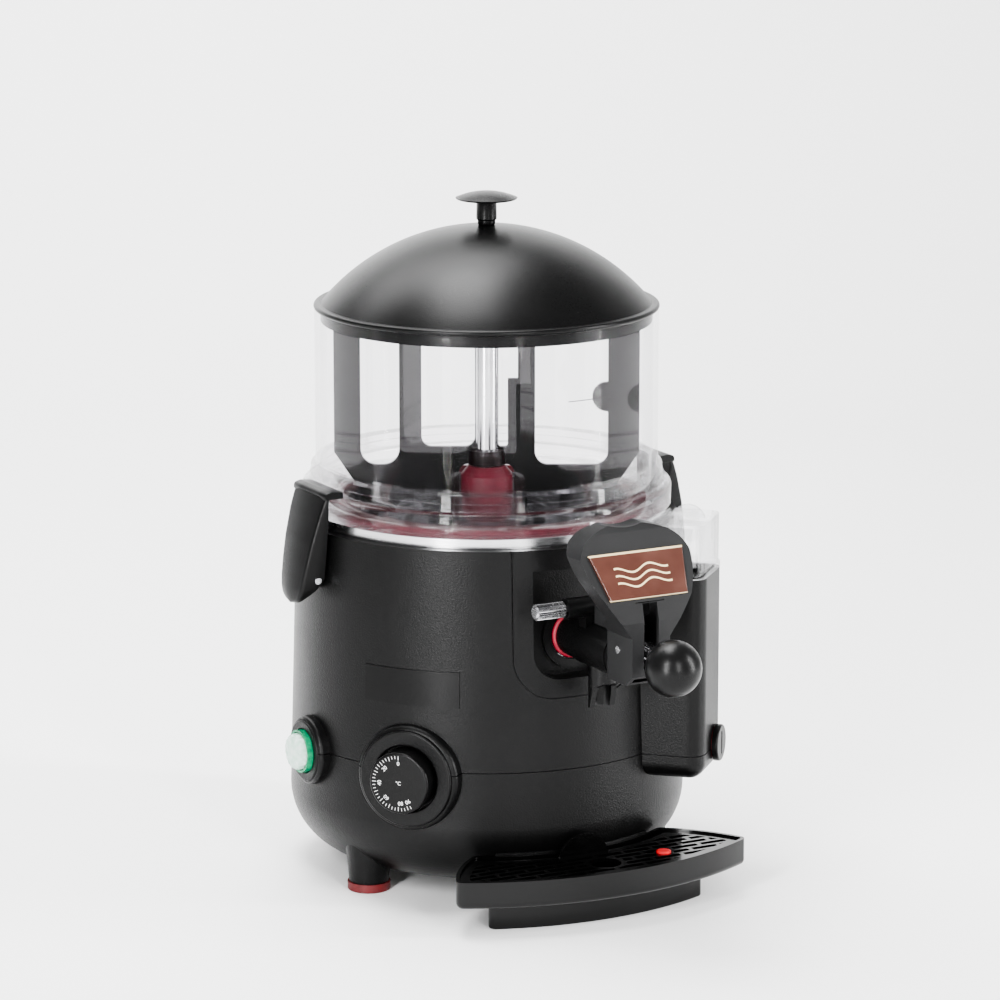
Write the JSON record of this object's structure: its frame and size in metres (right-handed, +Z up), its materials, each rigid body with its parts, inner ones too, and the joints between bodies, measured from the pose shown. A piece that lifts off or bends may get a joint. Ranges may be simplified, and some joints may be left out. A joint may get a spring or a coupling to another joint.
{
  "type": "hot chocolate dispenser",
  "caption": "Countertop hot chocolate dispenser with a clear bowl, domed lid, stirring paddle, black round body, front tap with shield and drip tray.",
  "frame": {"origin": "on the resting plane, under the vertical axis of the round body", "axes": "+Z up, -Y to the front where the tap is, +X to the right seen from the front"},
  "size_m": [0.3032, 0.4102, 0.465],
  "materials": {
    "black_shell": "fine grain satin",
    "black_gloss": "gloss",
    "black_lid": "satin",
    "tap_black": "satin",
    "clear": "clear polycarbonate",
    "steel": "polished",
    "red_silicone": "matt",
    "pad_rubber": "matt",
    "brown_label": "gloss",
    "green_lens": "gloss",
    "button_clear": "gloss",
    "red_float": "gloss",
    "bronze": "plain",
    "motor_paint": "satin",
    "thermostat_case": "plain"
  },
  "bodies": {
    "base": {"upper_housing": "black_shell", "lower_housing": "black_shell", "foot_pads": "pad_rubber", "water_tank": "steel", "tank_seal": "red_silicone", "product_pan": "steel", "shaft_bushes": "bronze", "heating_element": "steel", "shaft_seal": "red_silicone", "pan_gasket": "red_silicone", "bowl": "clear", "gear_motor": "motor_paint", "motor_bracket": "steel", "base_screws": "steel", "latch_pins": "steel", "tap_body": "tap_black", "tap_o_ring": "red_silicone", "tap_shield": "tap_black", "label_plate": "brown_label", "lever_pin": "steel", "dial_collar": "black_shell", "thermostat_body": "thermostat_case", "temperature_probe": "steel", "switch_body": "green_lens", "switch_collar": "black_shell", "tray_bracket": "black_shell", "name_plate": "tap_black", "cable_gland": "tap_black", "drain_seal": "red_silicone"},
    "lid_assembly": {"lid": "black_lid", "lid_knob": "black_lid", "knob_screw": "steel"},
    "stirrer": {"drive_shaft": "steel", "agitator": "black_lid", "agitator_screw": "steel", "drive_coupling": "steel"},
    "latch_r": {"latch_right": "black_lid"},
    "latch_l": {"latch_left": "black_lid"},
    "tap_handle": {"tap_lever": "steel", "ball_knob": "black_lid"},
    "tap_plunger": {"tap_piston": "tap_black", "piston_seal": "red_silicone"},
    "tap_lock": {"thumb_screw": "steel"},
    "dial": {"thermostat_knob": "black_shell", "thermostat_spindle": "steel"},
    "switch": {"switch_button": "button_clear"},
    "filler_cover": {"water_cap": "clear"},
    "drain": {"drain_plug": "tap_black"},
    "tray": {"drip_tray": "black_gloss"},
    "grid": {"tray_grid": "black_gloss"},
    "float": {"tray_float": "red_float"}
  },
  "joints": [
    {"name": "lid_lift", "type": "slide", "parent": "base", "child": "lid_assembly", "axis": [0, 0, 1], "range_m": [0, 0.12]},
    {"name": "stirrer_spin", "type": "hinge", "parent": "base", "child": "stirrer", "pos_m": [0, 0, 0.2], "axis": [0, 0, 1], "continuous": true},
    {"name": "latch_right_swing", "type": "hinge", "parent": "base", "child": "latch_r", "pos_m": [0.1375, 0, 0.214], "axis": [0, 1, 0], "range_deg": [0, 30]},
    {"name": "latch_left_swing", "type": "hinge", "parent": "base", "child": "latch_l", "pos_m": [-0.1375, 0, 0.214], "axis": [0, -1, 0], "range_deg": [0, 30]},
    {"name": "tap_lift", "type": "hinge", "parent": "base", "child": "tap_handle", "pos_m": [0, -0.204, 0.193], "axis": [-1, 0, 0], "range_deg": [0, 35]},
    {"name": "plunger_slide", "type": "slide", "parent": "base", "child": "tap_plunger", "axis": [0, -1, 0], "range_m": [0, 0.009]},
    {"name": "lock_screw_turn", "type": "hinge", "parent": "base", "child": "tap_lock", "pos_m": [0, -0.15, 0.2095], "axis": [-1, 0, 0], "range_deg": [-180, 0]},
    {"name": "dial_turn", "type": "hinge", "parent": "base", "child": "dial", "pos_m": [-0.1088, -0.08811, 0.0905], "axis": [-0.7771, -0.6293, 0], "range_deg": [-210, 0]},
    {"name": "switch_press", "type": "slide", "parent": "base", "child": "switch", "axis": [1, 0, 0], "range_m": [0, 0.003], "stiffness_N_per_m": 600},
    {"name": "filler_cover_lift", "type": "slide", "parent": "base", "child": "filler_cover", "axis": [0, 0, 1], "range_m": [0, 0.06]},
    {"name": "drain_turn", "type": "hinge", "parent": "base", "child": "drain", "pos_m": [0.10677, -0.12657, 0.097], "axis": [0.7071, -0.7071, 0], "range_deg": [-90, 0]},
    {"name": "tray_slide", "type": "slide", "parent": "base", "child": "tray", "axis": [0, -1, 0], "range_m": [0, 0.1]},
    {"name": "grid_lift", "type": "slide", "parent": "tray", "child": "grid", "axis": [0, 0, 1], "range_m": [0, 0.04]},
    {"name": "float_rise", "type": "slide", "parent": "grid", "child": "float", "axis": [0, 0, 1], "range_m": [0, 0.004]}
  ],
  "couplings": [
    {"joint": "plunger_slide", "follows": "tap_lift", "m_per_rad": 0.014733}
  ]
}
